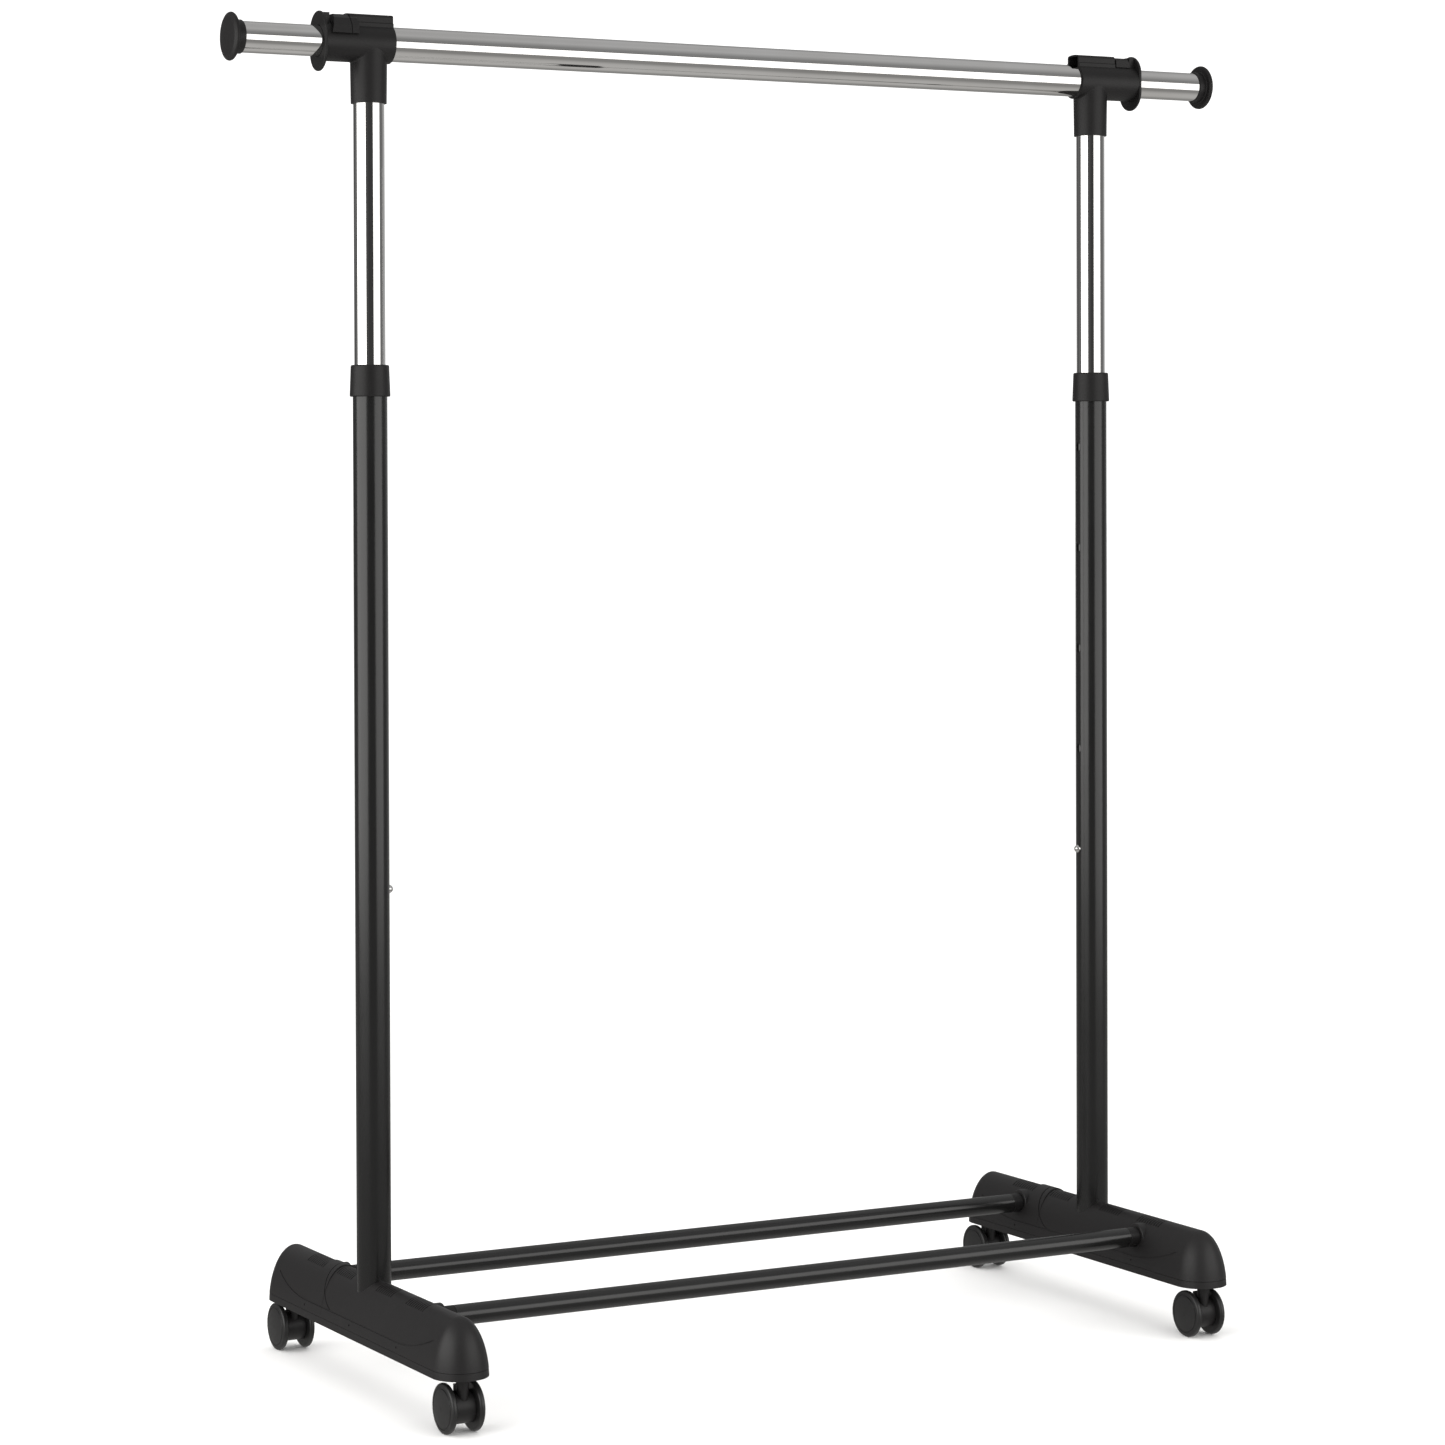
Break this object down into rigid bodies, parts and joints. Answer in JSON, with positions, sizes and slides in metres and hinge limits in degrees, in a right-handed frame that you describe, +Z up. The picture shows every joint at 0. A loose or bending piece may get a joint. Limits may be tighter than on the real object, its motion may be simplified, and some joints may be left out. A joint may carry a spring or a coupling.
{
  "type": "garment rail",
  "caption": "Rolling garment rail: a chromed hanging rail on telescopic columns, extending end rods, a twin-bar shelf and moulded feet on swivel twin-wheel casters.",
  "frame": {"origin": "on the floor, midway between the two columns", "axes": "+X along the hanging rail to the right, +Y to the back, +Z up"},
  "size_m": [1.07, 0.4345, 1.2635],
  "materials": {
    "chrome_tube": "polished",
    "chrome_small": "polished",
    "black_powder_coat": "satin",
    "foot_plastic": "satin",
    "black_plastic": "satin",
    "caster_plastic": "satin",
    "wheel_plastic": "semi-gloss",
    "nylon": "natural",
    "zinc_steel": "zinc plated",
    "spring_steel": "oiled"
  },
  "bodies": {
    "base": {"front_shelf_bar": "black_powder_coat", "rear_shelf_bar": "black_powder_coat", "front_bar_plugs": "black_plastic", "rear_bar_plugs": "black_plastic", "left_foot_shell": "foot_plastic", "left_foot_base": "foot_plastic", "left_foot_screws": "zinc_steel", "left_caster_sockets": "zinc_steel", "left_column_plug": "nylon", "left_column_bolt": "zinc_steel", "left_lower_tube": "black_powder_coat", "left_collar": "black_plastic", "right_foot_shell": "foot_plastic", "right_foot_base": "foot_plastic", "right_foot_screws": "zinc_steel", "right_caster_sockets": "zinc_steel", "right_column_plug": "nylon", "right_column_bolt": "zinc_steel", "right_lower_tube": "black_powder_coat", "right_collar": "black_plastic"},
    "upper_frame": {"rail": "chrome_tube", "left_upright": "chrome_tube", "left_upright_glide": "nylon", "left_tee": "black_plastic", "left_tee_fasteners": "zinc_steel", "left_button_spring": "spring_steel", "right_upright": "chrome_tube", "right_upright_glide": "nylon", "right_tee": "black_plastic", "right_tee_fasteners": "zinc_steel", "right_button_spring": "spring_steel"},
    "left_rod": {"left_extension_rod": "chrome_tube", "left_rod_glide": "nylon", "left_end_cap": "black_plastic"},
    "left_lever": {"left_lock_lever": "black_plastic"},
    "left_button": {"left_snap_button": "chrome_small"},
    "left_front_caster": {"left_front_caster_housing": "caster_plastic", "left_front_caster_pins": "zinc_steel"},
    "left_front_caster_outer_wheel_body": {"left_front_caster_outer_wheel": "wheel_plastic"},
    "left_front_caster_inner_wheel_body": {"left_front_caster_inner_wheel": "wheel_plastic"},
    "left_rear_caster": {"left_rear_caster_housing": "caster_plastic", "left_rear_caster_pins": "zinc_steel"},
    "left_rear_caster_outer_wheel_body": {"left_rear_caster_outer_wheel": "wheel_plastic"},
    "left_rear_caster_inner_wheel_body": {"left_rear_caster_inner_wheel": "wheel_plastic"},
    "right_rod": {"right_extension_rod": "chrome_tube", "right_rod_glide": "nylon", "right_end_cap": "black_plastic"},
    "right_lever": {"right_lock_lever": "black_plastic"},
    "right_button": {"right_snap_button": "chrome_small"},
    "right_front_caster": {"right_front_caster_housing": "caster_plastic", "right_front_caster_pins": "zinc_steel"},
    "right_front_caster_outer_wheel_body": {"right_front_caster_outer_wheel": "wheel_plastic"},
    "right_front_caster_inner_wheel_body": {"right_front_caster_inner_wheel": "wheel_plastic"},
    "right_rear_caster": {"right_rear_caster_housing": "caster_plastic", "right_rear_caster_pins": "zinc_steel"},
    "right_rear_caster_outer_wheel_body": {"right_rear_caster_outer_wheel": "wheel_plastic"},
    "right_rear_caster_inner_wheel_body": {"right_rear_caster_inner_wheel": "wheel_plastic"}
  },
  "joints": [
    {"name": "height", "type": "slide", "parent": "base", "child": "upper_frame", "axis": [0, 0, 1], "range_m": [0, 0.4064], "deforming": ["left_snap_button", "left_button_spring", "right_snap_button", "right_button_spring"]},
    {"name": "left_rod_slide", "type": "slide", "parent": "upper_frame", "child": "left_rod", "axis": [-1, 0, 0], "range_m": [-0.073, 0.145]},
    {"name": "left_lever_tilt", "type": "hinge", "parent": "upper_frame", "child": "left_lever", "pos_m": [-0.4115, 0, 1.257], "axis": [0, 1, 0], "range_deg": [0, 10]},
    {"name": "left_button_press", "type": "slide", "parent": "upper_frame", "child": "left_button", "axis": [-1, 0, 0], "range_m": [0, 0.0058], "stiffness_N_per_m": 500, "springref_m": -0.003, "deforming": ["left_button_spring"]},
    {"name": "left_front_caster_swivel", "type": "hinge", "parent": "base", "child": "left_front_caster", "pos_m": [-0.3965, -0.192, 0.0505], "axis": [0, 0, 1], "continuous": true},
    {"name": "left_front_caster_outer_roll", "type": "hinge", "parent": "left_front_caster", "child": "left_front_caster_outer_wheel_body", "pos_m": [-0.3965, -0.184, 0.0225], "axis": [1, 0, 0], "continuous": true},
    {"name": "left_front_caster_inner_roll", "type": "hinge", "parent": "left_front_caster", "child": "left_front_caster_inner_wheel_body", "pos_m": [-0.3965, -0.184, 0.0225], "axis": [1, 0, 0], "continuous": true},
    {"name": "left_rear_caster_swivel", "type": "hinge", "parent": "base", "child": "left_rear_caster", "pos_m": [-0.3965, 0.192, 0.0505], "axis": [0, 0, 1], "continuous": true},
    {"name": "left_rear_caster_outer_roll", "type": "hinge", "parent": "left_rear_caster", "child": "left_rear_caster_outer_wheel_body", "pos_m": [-0.3965, 0.2, 0.0225], "axis": [1, 0, 0], "continuous": true},
    {"name": "left_rear_caster_inner_roll", "type": "hinge", "parent": "left_rear_caster", "child": "left_rear_caster_inner_wheel_body", "pos_m": [-0.3965, 0.2, 0.0225], "axis": [1, 0, 0], "continuous": true},
    {"name": "right_rod_slide", "type": "slide", "parent": "upper_frame", "child": "right_rod", "axis": [1, 0, 0], "range_m": [-0.073, 0.145]},
    {"name": "right_lever_tilt", "type": "hinge", "parent": "upper_frame", "child": "right_lever", "pos_m": [0.4115, 0, 1.257], "axis": [0, -1, 0], "range_deg": [0, 10]},
    {"name": "right_button_press", "type": "slide", "parent": "upper_frame", "child": "right_button", "axis": [1, 0, 0], "range_m": [0, 0.0058], "stiffness_N_per_m": 500, "springref_m": -0.003, "deforming": ["right_button_spring"]},
    {"name": "right_front_caster_swivel", "type": "hinge", "parent": "base", "child": "right_front_caster", "pos_m": [0.3965, -0.192, 0.0505], "axis": [0, 0, 1], "continuous": true},
    {"name": "right_front_caster_outer_roll", "type": "hinge", "parent": "right_front_caster", "child": "right_front_caster_outer_wheel_body", "pos_m": [0.3965, -0.184, 0.0225], "axis": [1, 0, 0], "continuous": true},
    {"name": "right_front_caster_inner_roll", "type": "hinge", "parent": "right_front_caster", "child": "right_front_caster_inner_wheel_body", "pos_m": [0.3965, -0.184, 0.0225], "axis": [1, 0, 0], "continuous": true},
    {"name": "right_rear_caster_swivel", "type": "hinge", "parent": "base", "child": "right_rear_caster", "pos_m": [0.3965, 0.192, 0.0505], "axis": [0, 0, 1], "continuous": true},
    {"name": "right_rear_caster_outer_roll", "type": "hinge", "parent": "right_rear_caster", "child": "right_rear_caster_outer_wheel_body", "pos_m": [0.3965, 0.2, 0.0225], "axis": [1, 0, 0], "continuous": true},
    {"name": "right_rear_caster_inner_roll", "type": "hinge", "parent": "right_rear_caster", "child": "right_rear_caster_inner_wheel_body", "pos_m": [0.3965, 0.2, 0.0225], "axis": [1, 0, 0], "continuous": true}
  ]
}
